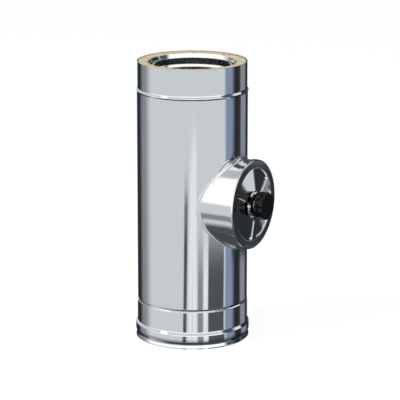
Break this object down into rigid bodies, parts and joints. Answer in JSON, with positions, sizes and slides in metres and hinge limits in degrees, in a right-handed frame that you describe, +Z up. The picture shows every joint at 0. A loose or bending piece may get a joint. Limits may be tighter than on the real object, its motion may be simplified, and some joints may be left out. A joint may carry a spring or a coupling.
{
  "type": "chimney inspection section",
  "caption": "Upright twin-wall insulated stainless chimney section with plug-in ends and a round side branch closed by a pressed cap with a clamping knob, for inspecting and sweeping the flue.",
  "frame": {"origin": "centre of the casing's bottom lip, on the flue axis", "axes": "+Z up along the flue axis, +X out along the inspection branch"},
  "size_m": [0.259, 0.2074, 0.51],
  "materials": {
    "polished_steel": "mirror-polished stainless steel sheet",
    "bare_steel": "bright mill-finish stainless steel",
    "mineral_wool": "golden mineral wool",
    "fibre_gasket": "pressed glass fibre",
    "silicone_seal": "matt heat-resistant silicone",
    "black_moulding": "satin black heat-resistant moulding",
    "brass_insert": "turned brass"
  },
  "bodies": {
    "section": {"outer_casing": "polished_steel", "branch_casing": "polished_steel", "flue_liner": "bare_steel", "liner_branch": "bare_steel", "branch_end_ring": "bare_steel", "lower_spacer_ring": "bare_steel", "upper_spacer_clips": "bare_steel", "insulation_blanket": "mineral_wool", "branch_insulation": "mineral_wool"},
    "cover": {"cap_cover": "polished_steel", "plug_pan": "bare_steel", "cap_insulation": "mineral_wool", "clamp_sleeve": "bare_steel", "cover_gasket": "fibre_gasket", "plug_seal": "silicone_seal", "knob_washer": "bare_steel"},
    "clamp": {"clamp_plate": "bare_steel", "clamp_stud": "bare_steel", "clamp_washer": "bare_steel", "clamp_nut": "bare_steel"},
    "closing_knob": {"knob": "black_moulding", "knob_insert": "brass_insert"}
  },
  "joints": [
    {"name": "cover_pull", "type": "slide", "parent": "section", "child": "cover", "axis": [1, 0, 0], "range_m": [0, 0.08]},
    {"name": "knob_turn", "type": "hinge", "parent": "cover", "child": "closing_knob", "pos_m": [0.14, 0, 0.2595], "axis": [1, 0, 0], "range_deg": [0, 1080]},
    {"name": "plate_draw", "type": "slide", "parent": "cover", "child": "clamp", "axis": [1, 0, 0], "range_m": [-0.0038, 0]}
  ],
  "couplings": [
    {"joint": "plate_draw", "follows": "knob_turn", "m_per_rad": -0.00019894}
  ]
}
